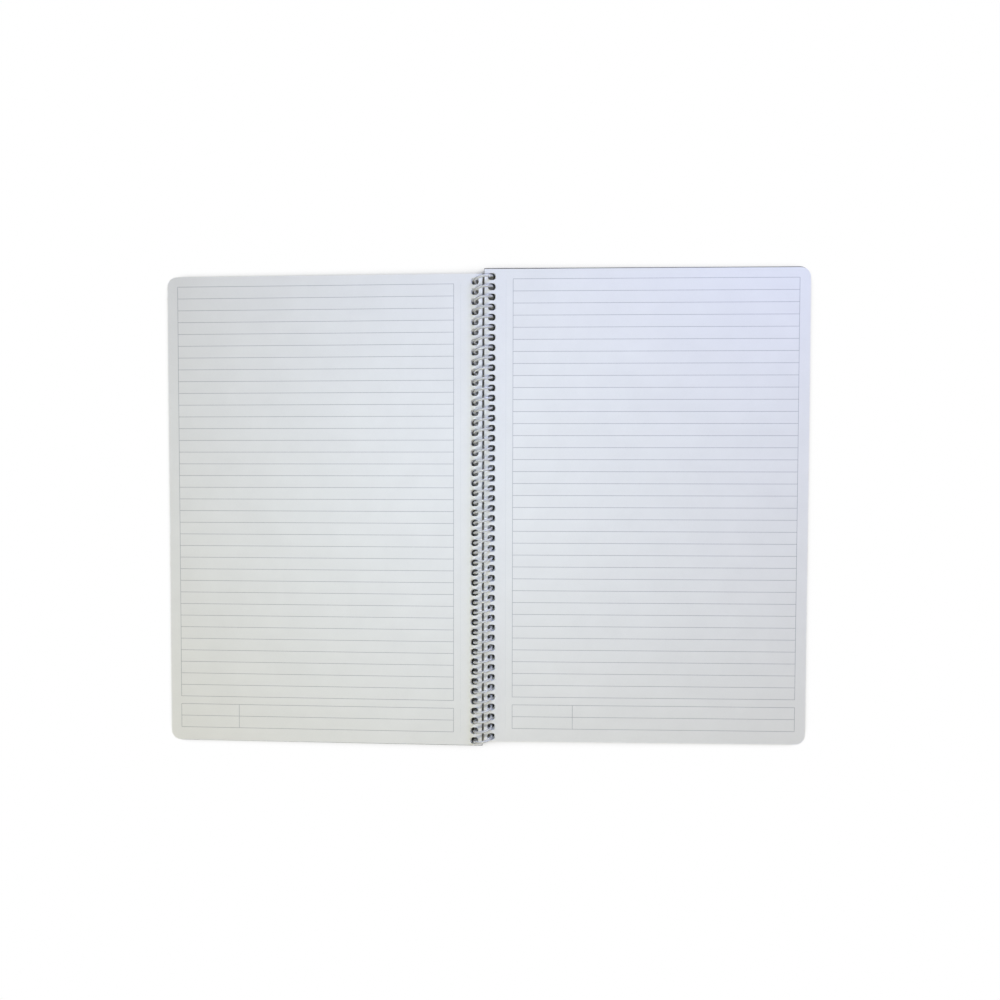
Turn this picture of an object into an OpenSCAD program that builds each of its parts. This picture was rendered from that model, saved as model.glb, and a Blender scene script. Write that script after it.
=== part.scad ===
// Large ruled notebook with a plastic spiral, lying open in the middle on a desk.
// The desk is z = 0, the spiral runs along Y, and the leaves read upright with +Y at their top.
// Each half is a flat pack of leaves with its cover below. It hangs on the spiral at its
// inner edge and touches the desk at its outer edge, so it slopes by a fraction of a degree.

/* [Leaves] */
// Width of a leaf, from its punched edge to its outer edge
sheet_w = 201.5; // [140:0.5:240]
// Height of a leaf
sheet_h = 297; // [270:0.5:320]
// Thickness of the leaves on each side
pages_t = 2.8; // [1:0.1:3.2]
// Radius of the two outer corners of a leaf
corner_r = 6; // [2:0.5:20]

/* [Covers] */
// Thickness of a cover board
cover_t = 0.6; // [0.3:0.1:0.9]
// How far a cover stands out past the leaves
cover_overhang = 0.8; // [0:0.1:3]

/* [Punching] */
// Distance between hole centres
hole_pitch = 6.29; // [6:0.01:6.4]
// Least distance from the first and last hole centres to the ends of a centred row
end_margin = 3.6; // [3.6:0.1:6]
// Diameter of a punched hole
hole_d = 4.6; // [4.4:0.1:4.8]
// Distance from a cover's inner edge to the middle of its holes, at its lower face
hole_inset = 3.34; // [3.2:0.02:4]
// How much nearer the hole row lies to the foot of the leaf than to its head
row_drop = 0.9; // [0:0.01:0.9]

/* [Spiral] */
// Diameter of the plastic filament
wire_d = 1.5; // [1.2:0.1:1.6]
// How far each end of the spiral runs on below the covers, in degrees
spiral_tail = 40; // [20:1:45]

/* [Opening] */
// Width of the gap between the inner edges of the two halves
gutter = 1; // [0.6:0.1:2]
// How far the top leaves lie below the middle of the spiral
top_drop = 0.4; // [0.2:0.05:0.8]
// Least room between the filament and the wall of its hole
wire_room = 0.25; // [0.2:0.05:0.4]

/* [Facets] */
// Straight steps in one turn of the spiral
turn_steps = 14; // [12:1:16]
// Sides of the filament
wire_sides = 6; // [5:1:7]

/* [Hidden] */
$fn = 48;
// How far a hole's cylinder runs past each face, and the side of a corner square
cut = 2;
hole_count = floor((sheet_h - 2 * end_margin) / hole_pitch) + 1;
wire_r = wire_d / 2;
half_t = pages_t + cover_t;
inner_x = gutter / 2;
outer_x = inner_x + sheet_w;
page_bottom = -top_drop - pages_t;
cover_bottom = -top_drop - half_t;
// The filament leaves a half through the middle of the holes in the cover's lower face,
// and this sets the spiral's radius, to the middle of its filament
low_x = inner_x + hole_inset;
spiral_r = norm([low_x, cover_bottom]);
axis_z = spiral_r + wire_r;
// Slope of a half, from the spiral down to its outer edge on the desk
slope = asin((axis_z + cover_bottom) / (outer_x + cover_overhang));

// Where the filament passes a level of a flat half: its angle below the spiral's middle
// and its advance along the spine
function depth_angle(z) = asin(-z / spiral_r);
function advance(z) = hole_pitch * (depth_angle(z) + slope) / 360;

// A hole runs straight through a half, along the filament's path from face to face
top_x = sqrt(spiral_r * spiral_r - top_drop * top_drop);
mid_x = (top_x + low_x) / 2;
mid_advance = (advance(-top_drop) + advance(cover_bottom)) / 2;
lead = advance(cover_bottom) - advance(-top_drop);
bow = spiral_r * (1 - cos((depth_angle(cover_bottom) - depth_angle(-top_drop)) / 2));
// As the halves close, the spiral rolls half as far as they do, so that the filament
// moves along each hole row by a quarter of a pitch. At rest it lies off the hole's
// middle, so that it stays inside the hole to the end.
close_angle = 180 - 2 * slope;
roll_travel = hole_pitch * close_angle / 2 / 360;
hole_room = hole_d / 2 - wire_r - wire_room;
rest_offset = roll_travel - sqrt(hole_room * hole_room - bow * bow / 4);
// Each half is shifted along the spine by this, the left down and the right up
half_shift = hole_pitch / 4 + mid_advance - rest_offset;
first_y = -(hole_count - 1) / 2 * hole_pitch - row_drop;
function level_shift(z) = lead * ((-top_drop - half_t / 2) - z) / half_t;

// Leaf or cover seen from above, its punched edge along x = inner_x
module outline(w, h) {
    hull() {
        for (side = [-1, 1]) {
            translate([inner_x + w - corner_r, side * (h / 2 - corner_r)])
                circle(r = corner_r);
            translate([inner_x, side * h / 2 - (side + 1) / 2 * cut])
                square([cut, cut]);
        }
    }
}

// Straight-sided slab with that outline, from z_low to z_high, moved along the spine
module slab(w, h, z_low, z_high, shift) {
    translate([0, shift, z_low])
        linear_extrude(height = z_high - z_low)
            outline(w, h);
}

// The row of holes through a whole half, each along the filament's path
module hole_row() {
    run_x = top_x - low_x;
    run = sqrt(run_x * run_x + lead * lead + half_t * half_t);
    flat = sqrt(run_x * run_x + lead * lead);
    for (i = [0 : hole_count - 1]) {
        translate([mid_x + bow / 2, first_y + i * hole_pitch, -top_drop - half_t / 2])
            rotate([0, 0, atan2(-lead, run_x)])
                rotate([0, atan2(flat, half_t), 0])
                    cylinder(h = run + 2 * cut, d = hole_d, center = true);
    }
}

// Hangs the right half on the spiral, with its outer edge on the desk
module right_place() {
    translate([0, 0, axis_z])
        rotate([0, slope, 0])
            translate([0, half_shift, 0])
                children();
}

// Hangs the left half there, mirrored and shifted down the spine
module left_place() {
    translate([0, 0, axis_z])
        rotate([0, -slope, 0])
            translate([0, -half_shift, 0])
                mirror([1, 0, 0])
                    children();
}

module right_leaves() {
    difference() {
        slab(sheet_w, sheet_h, page_bottom, -top_drop, 0);
        hole_row();
    }
}

module right_board() {
    difference() {
        slab(sheet_w + cover_overhang, sheet_h + 2 * cover_overhang, cover_bottom, page_bottom,
            level_shift(page_bottom - cover_t / 2));
        hole_row();
    }
}

// The left half is a mirror image, so its holes lead the other way along the spine
module left_leaves() {
    difference() {
        slab(sheet_w, sheet_h, page_bottom, -top_drop, 0);
        left_hole_row();
    }
}

module left_board() {
    difference() {
        slab(sheet_w + cover_overhang, sheet_h + 2 * cover_overhang, cover_bottom, page_bottom,
            -level_shift(page_bottom - cover_t / 2));
        left_hole_row();
    }
}

module left_hole_row() {
    translate([0, -2 * row_drop, 0])
        mirror([0, 1, 0])
            hole_row();
}

// Path of the filament: from below the foot of the left half, over the gutter into the
// right half, under it back to the left one, and so on up the spine
first_turn = first_y - hole_pitch / 4;
start_angle = -depth_angle(cover_bottom) - slope - spiral_tail;
end_angle = 360 * (hole_count - 1) + 180 - start_angle;
rings = ceil((end_angle - start_angle) / 360 * turn_steps);
function ring_angle(k) = start_angle + (end_angle - start_angle) * k / rings;
function ring_middle(a) = [-spiral_r * cos(a), first_turn + hole_pitch * a / 360, spiral_r * sin(a)];
function unit(v) = v / norm(v);
function along(a) = unit([spiral_r * sin(a), hole_pitch / (2 * PI), spiral_r * cos(a)]);
function outward(a) = [-cos(a), 0, sin(a)];
function ring_point(a, b) =
    ring_middle(a) + wire_r * (cos(b) * outward(a) + sin(b) * cross(along(a), outward(a)));

module filament() {
    points = [
        for (k = [0 : rings])
            for (j = [0 : wire_sides - 1])
                ring_point(ring_angle(k), 360 * j / wire_sides)
    ];
    walls = [
        for (k = [0 : rings - 1])
            for (j = [0 : wire_sides - 1])
                let (a = k * wire_sides + j, b = k * wire_sides + (j + 1) % wire_sides)
                    for (half = [[a, b + wire_sides, b], [a, a + wire_sides, b + wire_sides]])
                        half
    ];
    start_cap = [for (j = [0 : wire_sides - 1]) j];
    end_cap = [for (j = [0 : wire_sides - 1]) (rings + 1) * wire_sides - 1 - j];
    polyhedron(points = points, faces = concat([start_cap], walls, [end_cap]), convexity = 10);
}

module front_cover() {
    color("dimgray")
        left_place()
            left_board();
}

module turned_pages() {
    color("white")
        left_place()
            left_leaves();
}

module spiral() {
    color("gainsboro")
        translate([0, 0, axis_z])
            filament();
}

module unread_pages() {
    color("white")
        right_place()
            right_leaves();
}

module back_cover() {
    color("dimgray")
        right_place()
            right_board();
}

front_cover();
turned_pages();
spiral();
unread_pages();
back_cover();
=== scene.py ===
"""Open spiral notebook: loose leaves, printed rules, cover boards and a plastic filament.

Sizes are in millimetres until a mesh is made; MM turns them into metres. Angles are in radians,
or in degrees where their comment says so. A half is described flat, as the right-hand one: x runs
from the spine to its outer edge, y along the spine, and z up from the middle of the spiral.
place() hangs it on the spiral on its own side, which is 1 for the right and -1 for the left.
"""
import math
import random

import bpy
import numpy as np
from mathutils import Euler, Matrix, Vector, geometry


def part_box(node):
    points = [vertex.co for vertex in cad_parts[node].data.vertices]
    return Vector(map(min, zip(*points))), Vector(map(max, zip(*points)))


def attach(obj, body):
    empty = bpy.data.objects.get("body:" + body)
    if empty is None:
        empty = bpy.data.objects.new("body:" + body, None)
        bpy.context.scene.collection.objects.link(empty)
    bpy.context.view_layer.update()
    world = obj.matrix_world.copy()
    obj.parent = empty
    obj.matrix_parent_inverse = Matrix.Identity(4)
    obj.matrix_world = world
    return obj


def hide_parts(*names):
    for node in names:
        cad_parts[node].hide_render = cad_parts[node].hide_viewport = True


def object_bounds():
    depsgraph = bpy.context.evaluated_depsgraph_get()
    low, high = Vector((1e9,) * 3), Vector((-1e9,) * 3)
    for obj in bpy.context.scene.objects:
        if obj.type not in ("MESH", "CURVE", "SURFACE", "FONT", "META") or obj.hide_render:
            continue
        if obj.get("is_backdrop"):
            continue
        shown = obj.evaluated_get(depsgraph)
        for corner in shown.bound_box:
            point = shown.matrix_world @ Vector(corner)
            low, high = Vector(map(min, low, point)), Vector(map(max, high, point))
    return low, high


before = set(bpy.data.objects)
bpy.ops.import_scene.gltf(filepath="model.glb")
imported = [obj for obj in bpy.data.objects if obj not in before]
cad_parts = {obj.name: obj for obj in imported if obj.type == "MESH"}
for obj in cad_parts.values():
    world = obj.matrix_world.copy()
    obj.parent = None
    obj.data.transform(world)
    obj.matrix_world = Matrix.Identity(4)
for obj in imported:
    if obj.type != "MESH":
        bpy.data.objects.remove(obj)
cad_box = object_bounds()

MM = 0.001
TURN = 2 * math.pi

# Driving sizes, the same as in the CAD source
LEAF_H = 297.0
PACK_T = 2.8            # thickness of the leaves of a half
CORNER_R = 6.0
COVER_T = 0.6
COVER_OVERHANG = 0.8
HOLE_PITCH = 6.29
HOLE_COUNT = 47
HOLE_R = 2.3
HOLE_INSET = 3.34       # from a cover's inner edge to its holes, at its lower face
ROW_DROP = 0.9          # how much nearer the hole row lies to the foot than to the head
WIRE_R = 0.75
SPIRAL_TAIL = 40.0      # how far each end of the spiral runs on below the covers, in degrees
INNER_X = 0.5           # inner edge of the covers
TOP_DROP = 0.4          # how far the top leaves lie below the middle of the spiral
WIRE_ROOM = 0.25        # least room between the filament and the wall of its hole

# The leaves and boards as only this script has them
LEAF_COUNT = 28
LEAF_T = 0.085
FLAT_X = 12.0           # up to here the leaves lie flat, round the holes
LEAF_EDGE_X = 0.72      # punched edge of the leaves, just behind the covers' edge
LEAF_LEAN = 0.18        # sideways lean of the leaves' hole row, mm for each mm of height
LEAF_HOLE = (5.35, 2.42, 2.15, 2.6)     # middle, half width, half height, squareness
BOARD_BEVEL = 0.12

# How the loose leaves stray from a flat pack
FAN_OUT = 0.22          # how far they stand off each other at their outer edge, all together
FAN_CROWDING = 3        # more makes their gaps less even
FAN_SWAY = 0.3          # share of the fan that comes and goes along the spine
SWAY_REACH = 70.0       # mm of the sway for each radian
WAVE = 0.07             # height of the top leaf's gentle waves
SWELL_LENGTH = 230.0    # length of the long wave along the spine
SWELL_SHIFT = 0.13      # share of that length by which a half's wave is moved
RIPPLE_REACH = (27.0, 61.0)     # mm of the slanted wave for each radian, in x and in y
CUT_SCATTER = 0.09      # how unevenly the leaves end at their edges
FULL_BY = 4             # waves and slips reach their full size at 1 / FULL_BY of the way out
FAN_SEED = 17
CUT_SEED = 41

# How finely the meshes are cut: the sides of a hole, and the spacing of the points
INNER_LEAF_MESH = (16, 40)
TOP_LEAF_MESH = (32, 7)
BOARD_MESH = (32, 60)
CORNER_POINTS = 9
RULE_MESH = 7           # spacing of the points along a printed rule
INSIDE_OUTLINE = 1      # which triangles Blender's triangulation gives back
SAME_POINT = 1e-6       # how near two points are one to it
LEAF_SHARP = 35         # angle from which an edge is sharp, in degrees
FILAMENT_SHARP = 60     # the same for the filament
STEPS_A_TURN = 48
FILAMENT_SIDES = 14
CAP_RINGS = 4           # rings of a rounded end, with the filament's own last ring
CAP_TIP = 0.15          # angle from the tip of that end to its outermost ring

# The ruling, measured on the leaf from the gutter's middle and from its top edge
FRAME_X = (18.6, 195.4)
FIRST_RULE = 6.2
RULE_STEP = 7.5
RULE_COUNT = 36
BOX_GAP = 5.0
BOX_STEP = 7.55
BOX_RULES = 3
DIVIDER_IN = 38.0       # from the frame's left end, as both pages are read
SHOW_THROUGH_X = 14.2
RULE_W = 0.3
INK_T = 0.012           # height of an ink band's face over the leaf
INK_CLEARANCE = INK_T / 3       # height of its underside

# Colours, each from darker to lighter
PAPER_TONES = ((0.79, 0.805, 0.832), (0.82, 0.835, 0.862))
FIBRE_TONES = ((0.965, 0.965, 0.965), (1, 1, 1))
INK_TONES = ((0.38, 0.40, 0.45), (0.46, 0.48, 0.53))
GHOST_TONES = ((0.72, 0.74, 0.77), (0.75, 0.77, 0.80))
# The boards' near-black is painted shade: it darkens the punched holes, where the boards show at
# their bottom
BOARD_PAINTED_SHADE_TONES = ((0.010, 0.011, 0.014), (0.015, 0.017, 0.021))
PLASTIC_TONES = ((0.70, 0.71, 0.73), (0.78, 0.79, 0.81))
FLOOR_GREY = (0.3, 0.3, 0.3, 1)
WHITE = (1, 1, 1, 1)

# Light and camera
WORLD_COLOUR = (1, 0.93, 0.67, 1)
WORLD_LEVEL = 0.302
LAMPS = (               # name, place, width, power in watts, colour
    ("key", (60, -560, 1500), 220, 7.2, (1, 0.93, 0.71)),
    ("window", (400, 520, 405), 300, 3.4, (0.44, 0.53, 1)),
    ("top", (-40, 30, 280), 150, 0.243, (0.76, 0.9, 1)),
    ("fill", (-480, -430, 320), 200, 0.5, (1, 0.99, 0.76)),
)
FLOOR_REACH = 3000.0    # from the middle of the floor to its edges
SHADOW_REACH = 20.0     # how near the notebook darkens the floor
SHADOW_SPAN = (0.4, 0.85)       # openness of the floor where it is all shadow and all white
CAMERA_AT = (24.68, 15.16, 405.75)
CAMERA_TURN = (-1.3324, 2.0095, 0.1162)     # degrees
LENS = 22.942
SENSOR = 36
NEAREST_SEEN = 10.0     # the camera shows nothing nearer than this

# The spiral and the two halves, worked out as in the CAD source
HALF_T = PACK_T + COVER_T
PACK_BOTTOM = -TOP_DROP - PACK_T
COVER_BOTTOM = -TOP_DROP - HALF_T
MIDDLE_Z = -TOP_DROP - HALF_T / 2
LOW_X = INNER_X + HOLE_INSET
SPIRAL_R = math.hypot(LOW_X, COVER_BOTTOM)
AXIS_Z = SPIRAL_R + WIRE_R
OUTER_X = round(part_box("unread_pages")[1].x / MM, 1)
SLOPE = math.asin((AXIS_Z + COVER_BOTTOM) / (OUTER_X + COVER_OVERHANG))
TOP_X = math.sqrt(SPIRAL_R ** 2 - TOP_DROP ** 2)
FIRST_Y = -(HOLE_COUNT - 1) / 2 * HOLE_PITCH - ROW_DROP


def depth_angle(z):
    """Angle below the spiral's middle at which the filament passes a level."""
    return math.asin(-z / SPIRAL_R)


def advance(z):
    """How far the filament has moved along the spine when it passes a level."""
    return HOLE_PITCH * (depth_angle(z) + SLOPE) / TURN


# How far a hole runs along the spine on its way down, and how far the filament bows in it
LEAD = advance(COVER_BOTTOM) - advance(-TOP_DROP)
BOW = SPIRAL_R * (1 - math.cos((depth_angle(COVER_BOTTOM) - depth_angle(-TOP_DROP)) / 2))
# The spiral rolls along the hole rows as the notebook closes, and lies off their middle at rest
HOLE_SPARE = HOLE_R - WIRE_R - WIRE_ROOM
ROLL_TRAVEL = HOLE_PITCH * (math.pi - 2 * SLOPE) / (2 * TURN)
REST_OFFSET = ROLL_TRAVEL - math.sqrt(HOLE_SPARE ** 2 - BOW ** 2 / 4)
# The left half is shifted down the spine by this, and the right half up
HALF_SHIFT = HOLE_PITCH / 4 + (advance(-TOP_DROP) + advance(COVER_BOTTOM)) / 2 - REST_OFFSET
# Middle of the holes halfway down. COVER_HOLE has it at the pack's top, as LEAF_HOLE does.
HOLE_X = (TOP_X + LOW_X) / 2 + BOW / 2
COVER_LEAN = (TOP_X - LOW_X) / HALF_T
COVER_HOLE = (HOLE_X + COVER_LEAN * HALF_T / 2, HOLE_R, HOLE_R, 2)


# Shapes

def place(points, side):
    """Points of a flat half, N x 3, to where they are on its side, in metres."""
    x, y, z = points.T
    cos, sin = math.cos(SLOPE), math.sin(SLOPE)
    out = np.stack([side * (x * cos + z * sin), y, z * cos - x * sin + AXIS_Z], 1)
    return out * MM


def on_level(plan_points, z, side, lean):
    """Points of a plan at their heights. On its way down through a half the filament leans
    across, as the holes do by lean, and runs along the spine, where the leaves follow it."""
    x, y = plan_points.T
    across = lean * (z + TOP_DROP)
    along = HALF_SHIFT - LEAD * (z - MIDDLE_Z) / HALF_T
    # Round the holes the leaf moves as a whole; its punched edge and its far part stay
    follow = np.interp(x, [INNER_X, INNER_X + 1, FLAT_X - 2, 2 * FLAT_X], [0, 1, 1, 0])
    return np.stack([x + follow * across, y + side * along, z], 1)


def hole_outline(hole, sides):
    """Points round a punched hole, a true round at squareness 2 and a squarer one above it. The
    straight sides touch that line from outside, so that they don't narrow the hole."""
    middle, half_w, half_h, power = hole
    room = 1 / math.cos(math.pi / sides)
    out = []
    for k in range(sides):
        cos, sin = math.cos(TURN * k / sides), math.sin(TURN * k / sides)
        out.append((middle + half_w * room * math.copysign(abs(cos) ** (2 / power), cos),
                    half_h * room * math.copysign(abs(sin) ** (2 / power), sin)))
    return out


def leaf_plan(inner, outer, height, hole, mesh):
    """A punched leaf seen from above: points, triangles and the edges round it and its holes."""
    hole_sides, grid = mesh
    width, top = outer - inner, height / 2
    round_hole = hole_outline(hole, hole_sides)
    corner = [(outer - CORNER_R * (1 - math.sin(a)), CORNER_R * (1 - math.cos(a)) - top)
              for a in np.linspace(0, math.pi / 2, CORNER_POINTS)]
    along_x = np.linspace(2 * FLAT_X, outer - CORNER_R, max(3, int(width / grid)))[:-1]
    along_y = np.linspace(CORNER_R - top, top - CORNER_R, max(3, int(height / grid)))[1:-1]
    outline = [(inner, -top)] + [(x, -top) for x in along_x] + corner
    outline += [(outer, y) for y in along_y]
    outline += [(x, -y) for x, y in reversed(corner)]
    outline += [(x, top) for x in along_x[::-1]] + [(inner, top)]
    loops = [outline]
    for i in range(HOLE_COUNT):
        loops.append([(x, y + FIRST_Y + i * HOLE_PITCH) for x, y in round_hole])
    points, edges = [], []
    for loop in loops:
        start = len(points)
        points += [Vector(p) for p in loop]
        edges += [(start + k, start + (k + 1) % len(loop)) for k in range(len(loop))]
    points += [Vector((x, y)) for x in along_x for y in along_y]
    made = geometry.delaunay_2d_cdt(points, edges, [], INSIDE_OUTLINE, SAME_POINT)
    points = np.array([tuple(p) for p in made[0]])
    triangles = np.array(made[2])
    # Triangles inside a hole go, and the others are turned face up
    middle = points[triangles].mean(1)
    nearest = np.clip(np.round((middle[:, 1] - FIRST_Y) / HOLE_PITCH), 0, HOLE_COUNT - 1)
    hole_x, half_w, half_h, power = hole
    from_x = np.abs(middle[:, 0] - hole_x) / half_w
    from_y = np.abs(middle[:, 1] - FIRST_Y - nearest * HOLE_PITCH) / half_h
    triangles = triangles[from_x ** power + from_y ** power > 1]
    a, b, c = (points[triangles[:, k]] for k in range(3))
    turned = np.cross(b - a, c - a) < 0
    triangles[turned] = triangles[turned][:, ::-1]
    found = {(int(t[k]), int(t[(k + 1) % 3])) for t in triangles for k in range(3)}
    rim = sorted(e for e in found if (e[1], e[0]) not in found)
    return points, triangles, np.array(rim)


def rim_outward(points, rim):
    """Outward direction at each rim point of a plan, zero elsewhere."""
    step = points[rim[:, 1]] - points[rim[:, 0]]
    normal = np.stack([step[:, 1], -step[:, 0]], 1)
    normal /= np.linalg.norm(normal, axis=1)[:, None]
    out = np.zeros_like(points)
    np.add.at(out, rim[:, 0], normal)
    np.add.at(out, rim[:, 1], normal)
    length = np.linalg.norm(out, axis=1)
    out[length > 0] /= length[length > 0][:, None]
    return out


def faces_for(side, faces):
    """Faces made for the right side, turned over on the left, where place() mirrors them."""
    return faces if side > 0 else [face[::-1] for face in faces]


def slab(plan, layers, shape, side):
    """Closed solid on a plan. layers are (height, inset of the rim) from top to bottom, and
    shape(points, height) gives the placed points of a layer."""
    points, triangles, rim = plan
    outward = rim_outward(points, rim)
    rim_points = np.unique(rim)
    index = np.full(len(points), -1)
    index[rim_points] = np.arange(len(rim_points))
    verts, rings = [], []
    total = 0
    for k, (height, inset) in enumerate(layers):
        layer = points - inset * outward
        whole = k in (0, len(layers) - 1)
        verts.append(shape(layer if whole else layer[rim_points], height))
        rings.append((rim if whole else index[rim]) + total)
        total += len(verts[-1])
    low_start = total - len(points)
    faces = triangles.tolist() + (triangles[:, ::-1] + low_start).tolist()
    for upper, lower in zip(rings, rings[1:]):
        walls = np.stack([lower[:, 0], lower[:, 1], upper[:, 1], upper[:, 0]], 1)
        faces += walls.tolist()
    return np.concatenate(verts), faces_for(side, faces)


def way_out(x):
    """How far out a point lies, from 0 where the leaves lie flat to 1 at their outer edge."""
    return np.clip((x - FLAT_X) / (OUTER_X - FLAT_X), 0, 1)


def early(out):
    """The same, but full soon after the flat part."""
    return np.clip(FULL_BY * out, 0, 1)


def lift(x, y, k, side, fan):
    """How far leaf k stands off a flat pack, as the leaves fan out and wave a little."""
    out = way_out(x)
    share = (k + 1) / LEAF_COUNT
    long_wave = np.sin(TURN * (y / SWELL_LENGTH + SWELL_SHIFT * side))
    slanted_wave = np.sin(x / RIPPLE_REACH[0] + y / RIPPLE_REACH[1] + side)
    swell = 0.5 * long_wave + 0.5 * slanted_wave
    spread = fan[k] * (1 - FAN_SWAY + FAN_SWAY * np.sin(y / SWAY_REACH + side))
    return out * out * spread + share * WAVE * early(out) * (1 + swell)


def fan_of(side):
    """Height of each leaf's outer edge over a flat pack, growing unevenly up the pack."""
    rand = random.Random(FAN_SEED + side)
    gaps = np.array([rand.random() ** FAN_CROWDING for _ in range(LEAF_COUNT)])
    return np.cumsum(gaps) / gaps.sum() * FAN_OUT


def add_mesh(name, verts, faces, material, sharp=LEAF_SHARP):
    """New smooth object from points in metres, with sharp edges from an angle in degrees."""
    mesh = bpy.data.meshes.new(name)
    mesh.from_pydata([tuple(v) for v in verts], [], faces)
    mesh.polygons.foreach_set("use_smooth", [True] * len(mesh.polygons))
    mesh.set_sharp_from_angle(angle=math.radians(sharp))
    mesh.materials.append(material)
    mesh.validate()
    obj = bpy.data.objects.new(name, mesh)
    bpy.context.scene.collection.objects.link(obj)
    return obj


def join_parts(parts):
    """Several (verts, faces) as one."""
    verts, faces, total = [], [], 0
    for part_verts, part_faces in parts:
        verts.append(part_verts)
        faces += [[v + total for v in face] for face in part_faces]
        total += len(part_verts)
    return np.concatenate(verts), faces


# Materials

# Sockets of a Mix node that mixes colours, which share their names with others
MIX_SHARE, MIX_A, MIX_B, MIX_RESULT = 0, 6, 7, 2


def new_material(name):
    """A material, its node tree and its shader."""
    mat = bpy.data.materials.new(name)
    mat.use_nodes = True
    return mat, mat.node_tree, mat.node_tree.nodes["Principled BSDF"]


def set_inputs(node, values):
    """Sets a node's own sockets by their names."""
    for name, value in values.items():
        node.inputs[name].default_value = value


def noise(tree, coords, scale, detail, rough):
    """Output of a noise that sits on the piece."""
    node = tree.nodes.new("ShaderNodeTexNoise")
    set_inputs(node, {"Scale": scale, "Detail": detail, "Roughness": rough})
    tree.links.new(coords.outputs["Object"], node.inputs["Vector"])
    return node.outputs["Fac"]


def colour_range(tree, source, tones, stops=(0.3, 0.7)):
    """Output that runs from the darker to the lighter tone between two values of source."""
    node = tree.nodes.new("ShaderNodeValToRGB")
    for element, tone, stop in zip(node.color_ramp.elements, tones, stops):
        element.position = stop
        element.color = (*tone, 1)
    tree.links.new(source, node.inputs["Fac"])
    return node.outputs["Color"]


def uneven_roughness(tree, shader, source, low, high):
    node = tree.nodes.new("ShaderNodeMapRange")
    set_inputs(node, {"To Min": low, "To Max": high})
    tree.links.new(source, node.inputs["Value"])
    tree.links.new(node.outputs["Result"], shader.inputs["Roughness"])


def add_bump(tree, shader, source, strength, depth):
    node = tree.nodes.new("ShaderNodeBump")
    set_inputs(node, {"Strength": strength, "Distance": depth * MM})
    tree.links.new(source, node.inputs["Height"])
    tree.links.new(node.outputs["Normal"], shader.inputs["Normal"])


def paper_material(name):
    """Uncoated writing paper: cloudy in its mass, with fine fibres on its face."""
    mat, tree, shader = new_material(name)
    coords = tree.nodes.new("ShaderNodeTexCoord")
    cloud = noise(tree, coords, scale=55, detail=5, rough=0.6)
    fibre = noise(tree, coords, scale=2600, detail=4, rough=0.7)
    mix = tree.nodes.new("ShaderNodeMix")
    mix.data_type = "RGBA"
    mix.blend_type = "MULTIPLY"
    mix.inputs[MIX_SHARE].default_value = 1
    tree.links.new(colour_range(tree, cloud, PAPER_TONES), mix.inputs[MIX_A])
    tree.links.new(colour_range(tree, fibre, FIBRE_TONES, (0.35, 0.6)), mix.inputs[MIX_B])
    tree.links.new(mix.outputs[MIX_RESULT], shader.inputs["Base Color"])
    set_inputs(shader, {"Roughness": 0.88, "Specular IOR Level": 0.25, "Sheen Weight": 0.06})
    add_bump(tree, shader, fibre, strength=0.25, depth=0.03)
    return mat


def ink_material(name, tones):
    """Thin printing ink that the paper takes up a little unevenly."""
    mat, tree, shader = new_material(name)
    coords = tree.nodes.new("ShaderNodeTexCoord")
    patch = noise(tree, coords, scale=900, detail=3, rough=0.6)
    tree.links.new(colour_range(tree, patch, tones), shader.inputs["Base Color"])
    set_inputs(shader, {"Roughness": 0.8, "Specular IOR Level": 0.2})
    return mat


def board_material(name):
    """Laminated card with a fine embossed grain, painted near-black: the dark stands in for the
    deep shade seen down the punched holes.
    """
    mat, tree, shader = new_material(name)
    coords = tree.nodes.new("ShaderNodeTexCoord")
    cloud = noise(tree, coords, scale=30, detail=4, rough=0.6)
    # near-black tones, painted shade for the holes
    tree.links.new(colour_range(tree, cloud, BOARD_PAINTED_SHADE_TONES), shader.inputs["Base Color"])
    set_inputs(shader, {"Specular IOR Level": 0.35})
    scuff = noise(tree, coords, scale=140, detail=6, rough=0.7)
    uneven_roughness(tree, shader, scuff, 0.42, 0.62)
    grain = tree.nodes.new("ShaderNodeTexVoronoi")
    set_inputs(grain, {"Scale": 1500})
    tree.links.new(coords.outputs["Object"], grain.inputs["Vector"])
    add_bump(tree, shader, grain.outputs["Distance"], strength=0.35, depth=0.06)
    return mat


def filament_material(name):
    """Milky soft plastic that lets light through and shows a sharp gloss."""
    mat, tree, shader = new_material(name)
    coords = tree.nodes.new("ShaderNodeTexCoord")
    cloud = noise(tree, coords, scale=260, detail=3, rough=0.5)
    tree.links.new(colour_range(tree, cloud, PLASTIC_TONES), shader.inputs["Base Color"])
    set_inputs(shader, {"Transmission Weight": 0.45, "IOR": 1.5, "Specular IOR Level": 0.5})
    fine = noise(tree, coords, scale=900, detail=3, rough=0.6)
    uneven_roughness(tree, shader, fine, 0.06, 0.18)
    add_bump(tree, shader, fine, strength=0.1, depth=0.02)
    return mat


paper = paper_material("paper")
ink = ink_material("rule_ink", INK_TONES)
ghost = ink_material("show_through", GHOST_TONES)
board = board_material("cover_card")
plastic = filament_material("filament_plastic")


# Pieces

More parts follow.
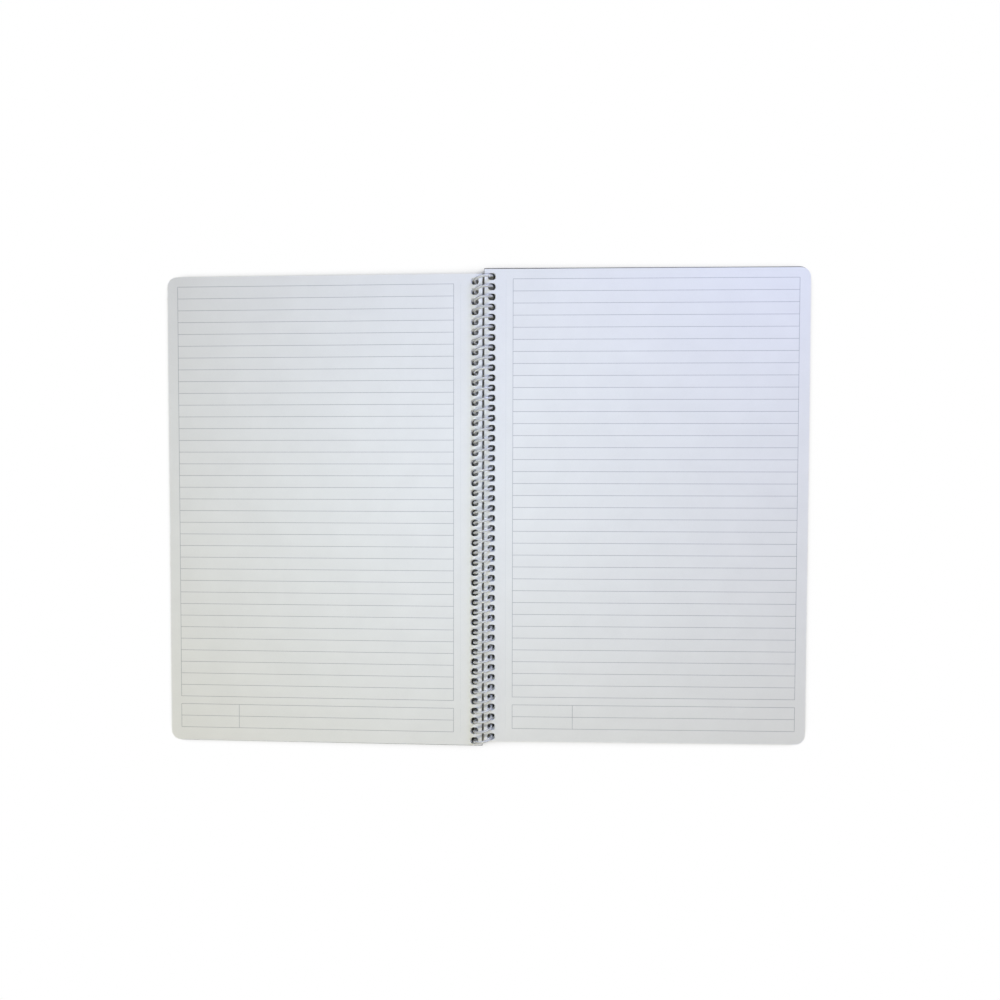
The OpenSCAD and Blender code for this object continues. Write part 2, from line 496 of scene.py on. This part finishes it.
def make_leaves(name, side, body, node):
    """All leaves of a half, each a thin closed solid."""
    fan = fan_of(side)
    rand = random.Random(CUT_SEED + side)
    inner_plan = leaf_plan(LEAF_EDGE_X, OUTER_X, LEAF_H, LEAF_HOLE, INNER_LEAF_MESH)
    top_plan = leaf_plan(LEAF_EDGE_X, OUTER_X, LEAF_H, LEAF_HOLE, TOP_LEAF_MESH)
    pitch = PACK_T / LEAF_COUNT
    parts = []
    for k in range(LEAF_COUNT):
        top_leaf = k == LEAF_COUNT - 1
        middle = PACK_BOTTOM + (k + 0.5) * pitch
        shrink = 0 if top_leaf else -CUT_SCATTER * rand.random()
        slip = 0 if top_leaf else CUT_SCATTER * (rand.random() - 0.5)

        def shape(points, height):
            x, y = points.T
            out = way_out(x)
            moved = np.stack([x + shrink * out, y + slip * early(out)], 1)
            flat = on_level(moved, np.full(len(x), middle + height), side, LEAF_LEAN)
            flat[:, 2] += lift(x, y, k, side, fan)
            return place(flat, side)

        plan = top_plan if top_leaf else inner_plan
        parts.append(slab(plan, [(LEAF_T / 2, 0), (-LEAF_T / 2, 0)], shape, side))
    obj = add_mesh(name, *join_parts(parts), paper)
    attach(obj, body)
    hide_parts(node)


def ink_band(a, b, side, fan):
    """A flat closed band of ink on the top leaf, from a to b."""
    a, b = np.array(a, float), np.array(b, float)
    length = np.linalg.norm(b - a)
    steps = max(2, int(length / RULE_MESH))
    line = a + (b - a) * np.linspace(0, 1, steps + 1)[:, None]
    way = (b - a) / length
    across = np.array([-way[1], way[0]]) * RULE_W / 2
    leaf_top = PACK_BOTTOM + PACK_T - (PACK_T / LEAF_COUNT - LEAF_T) / 2
    verts = []
    for height in (INK_T, INK_CLEARANCE):
        for edge in (line + across, line - across):
            x, y = edge.T
            flat = on_level(edge, np.full(len(x), leaf_top), side, LEAF_LEAN)
            flat[:, 2] += lift(x, y, LEAF_COUNT - 1, side, fan) + height
            verts.append(place(flat, side))
    # Four rows of points: both edges of the face, then both of the underside
    n = steps + 1
    faces = []
    for k in range(steps):
        for p, q in ((0, 1), (1, 3), (3, 2), (2, 0)):
            faces.append([p * n + k, q * n + k, q * n + k + 1, p * n + k + 1])
    faces += [[0, 2 * n, 3 * n, n], [steps, n + steps, 3 * n + steps, 2 * n + steps]]
    return np.concatenate(verts), faces_for(side, faces)


def make_rules(side, body):
    """The printed rules of the top leaf, and the faint frame line that shows through it."""
    fan = fan_of(side)
    first_y = LEAF_H / 2 - FIRST_RULE
    last_y = first_y - (RULE_COUNT - 1) * RULE_STEP
    box_top = last_y - BOX_GAP
    box_low = box_top - (BOX_RULES - 1) * BOX_STEP
    heights = ((last_y, first_y), (box_low, box_top))       # of the frame, and of the box
    left, right = FRAME_X
    divider = left + DIVIDER_IN if side > 0 else right - DIVIDER_IN

    def across(y):
        return ink_band((left, y), (right, y), side, fan)

    def upright(x, low, high):
        return ink_band((x, low), (x, high), side, fan)

    lines = [across(first_y - k * RULE_STEP) for k in range(RULE_COUNT)]
    lines += [across(box_top - k * BOX_STEP) for k in range(BOX_RULES)]
    lines += [upright(x, low, high) for x in FRAME_X for low, high in heights]
    lines.append(upright(divider, box_low, box_top))
    through = [upright(SHOW_THROUGH_X, low, high) for low, high in heights]
    word = "right" if side > 0 else "left"
    made = add_mesh("rules_" + word, *join_parts(lines), ink)
    faint = add_mesh("show_through_" + word, *join_parts(through), ghost)
    for obj in (made, faint):
        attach(obj, body)


def make_cover(name, side, body, node):
    """A cover board with bevelled edges."""
    outer, height = OUTER_X + COVER_OVERHANG, LEAF_H + 2 * COVER_OVERHANG
    plan = leaf_plan(INNER_X, outer, height, COVER_HOLE, BOARD_MESH)

    def shape(points, z):
        return place(on_level(points, np.full(len(points), z), side, COVER_LEAN), side)

    layers = [(PACK_BOTTOM, BOARD_BEVEL), (PACK_BOTTOM - BOARD_BEVEL, 0),
              (COVER_BOTTOM + BOARD_BEVEL, 0), (COVER_BOTTOM, BOARD_BEVEL)]
    obj = add_mesh(name, *slab(plan, layers, shape, side), board)
    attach(obj, body)
    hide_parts(node)


def make_filament():
    """The filament as one smooth helix with rounded ends."""
    first_turn = FIRST_Y - HOLE_PITCH / 4
    end_room = WIRE_R / SPIRAL_R
    start = -depth_angle(COVER_BOTTOM) - SLOPE - math.radians(SPIRAL_TAIL)
    end = TURN * (HOLE_COUNT - 1) + math.pi - start
    start, end = start + end_room, end - end_room
    rings = math.ceil((end - start) / TURN * STEPS_A_TURN)
    # Each ring has its angle round the spiral, how far ahead of it it lies, and its radius
    cap = [(WIRE_R * math.cos(t), WIRE_R * math.sin(t))
           for t in np.linspace(CAP_TIP, math.pi / 2, CAP_RINGS)[:-1]]
    stations = [(start, -ahead, radius) for ahead, radius in cap]
    stations += [(a, 0, WIRE_R) for a in np.linspace(start, end, rings + 1)]
    stations += [(end, ahead, radius) for ahead, radius in reversed(cap)]
    verts = []
    for a, ahead, radius in stations:
        middle = Vector((-SPIRAL_R * math.cos(a), first_turn + HOLE_PITCH * a / TURN,
                         SPIRAL_R * math.sin(a) + AXIS_Z))
        along = Vector((SPIRAL_R * math.sin(a), HOLE_PITCH / TURN,
                        SPIRAL_R * math.cos(a))).normalized()
        outward = Vector((-math.cos(a), 0, math.sin(a)))
        across = along.cross(outward)
        for j in range(FILAMENT_SIDES):
            b = TURN * j / FILAMENT_SIDES
            spoke = math.cos(b) * outward + math.sin(b) * across
            verts.append((middle + ahead * along + radius * spoke) * MM)
    last = len(stations) - 1
    faces = []
    for k in range(last):
        for j in range(FILAMENT_SIDES):
            a = k * FILAMENT_SIDES + j
            b = k * FILAMENT_SIDES + (j + 1) % FILAMENT_SIDES
            faces.append([a, b, b + FILAMENT_SIDES, a + FILAMENT_SIDES])
    faces.append(list(range(FILAMENT_SIDES))[::-1])
    faces.append([last * FILAMENT_SIDES + j for j in range(FILAMENT_SIDES)])
    obj = add_mesh("filament", verts, faces, plastic, FILAMENT_SHARP)
    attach(obj, "spiral")
    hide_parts("spiral")


make_leaves("leaves_right", 1, "back_half", "unread_pages")
make_leaves("leaves_left", -1, "front_half", "turned_pages")
make_rules(1, "back_half")
make_rules(-1, "front_half")
make_cover("board_back", 1, "back_half", "back_cover")
make_cover("board_front", -1, "front_half", "front_cover")
make_filament()


# Floor, light and camera

def background_rays(tree):
    """Output that is 1 for each ray that shows the background: camera, gloss and see-through."""
    rays = tree.nodes.new("ShaderNodeLightPath")
    seen = rays.outputs["Is Camera Ray"]
    for ray in ("Is Glossy Ray", "Is Transmission Ray"):
        add = tree.nodes.new("ShaderNodeMath")
        add.operation = "ADD"
        add.use_clamp = True
        tree.links.new(seen, add.inputs[0])
        tree.links.new(rays.outputs[ray], add.inputs[1])
        seen = add.outputs[0]
    return seen


def mix_shaders(tree, share, plain, shown, target):
    """Gives target the plain shader, and the shown one by share."""
    mix = tree.nodes.new("ShaderNodeMixShader")
    for source, socket in zip((share, plain.outputs[0], shown.outputs[0]), mix.inputs):
        tree.links.new(source, socket)
    tree.links.new(mix.outputs[0], target.inputs["Surface"])


def floor_material():
    """Grey where it lies in shadow, and else plain white to the rays that show the background."""
    mat, tree, shader = new_material("floor")
    set_inputs(shader, {"Base Color": FLOOR_GREY, "Roughness": 0.9, "Specular IOR Level": 0.1})
    white = tree.nodes.new("ShaderNodeEmission")
    set_inputs(white, {"Strength": 1})
    openness = tree.nodes.new("ShaderNodeAmbientOcclusion")
    openness.samples = 16
    set_inputs(openness, {"Distance": SHADOW_REACH * MM})
    spread = tree.nodes.new("ShaderNodeMapRange")
    spread.interpolation_type = "SMOOTHSTEP"
    set_inputs(spread, {"From Min": SHADOW_SPAN[0], "From Max": SHADOW_SPAN[1]})
    tree.links.new(openness.outputs["AO"], spread.inputs["Value"])
    share = tree.nodes.new("ShaderNodeMath")
    share.operation = "MULTIPLY"
    tree.links.new(background_rays(tree), share.inputs[0])
    tree.links.new(spread.outputs["Result"], share.inputs[1])
    mix_shaders(tree, share.outputs[0], shader, white, tree.nodes["Material Output"])
    return mat


def make_floor():
    """Flat floor that reaches far past what the camera sees."""
    half = FLOOR_REACH * MM
    corners = [(-half, -half, 0), (half, -half, 0), (half, half, 0), (-half, half, 0)]
    obj = add_mesh("floor", corners, [[0, 1, 2, 3]], floor_material())
    obj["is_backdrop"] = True


def make_world():
    """Even light of its own colour, white to the rays that show the background."""
    world = bpy.data.worlds.new("studio")
    world.use_nodes = True
    tree = world.node_tree
    plain = tree.nodes["Background"]
    set_inputs(plain, {"Color": WORLD_COLOUR, "Strength": WORLD_LEVEL})
    white = tree.nodes.new("ShaderNodeBackground")
    set_inputs(white, {"Color": WHITE, "Strength": 1})
    mix_shaders(tree, background_rays(tree), plain, white, tree.nodes["World Output"])
    bpy.context.scene.world = world


def make_lamp(name, at, width, power, colour):
    """Square soft lamp that looks at the notebook's middle."""
    data = bpy.data.lights.new(name, "AREA")
    data.size = width * MM
    data.energy = power
    data.color = colour
    obj = bpy.data.objects.new(name, data)
    obj.location = Vector(at) * MM
    obj.rotation_euler = (-obj.location).to_track_quat("-Z", "Y").to_euler()
    obj.visible_camera = False
    bpy.context.scene.collection.objects.link(obj)


def make_camera():
    data = bpy.data.cameras.new("camera")
    data.sensor_width = SENSOR
    data.lens = LENS
    data.clip_start = NEAREST_SEEN * MM
    obj = bpy.data.objects.new("camera", data)
    obj.location = Vector(CAMERA_AT) * MM
    obj.rotation_euler = Euler([math.radians(a) for a in CAMERA_TURN], "XYZ")
    bpy.context.scene.collection.objects.link(obj)
    bpy.context.scene.camera = obj


make_floor()
make_world()
for lamp in LAMPS:
    make_lamp(*lamp)
make_camera()
bpy.context.scene.view_settings.view_transform = "Standard"

boxes = {"cad": cad_box, "visual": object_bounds()}
{name: [list(corner) for corner in box] for name, box in boxes.items()}
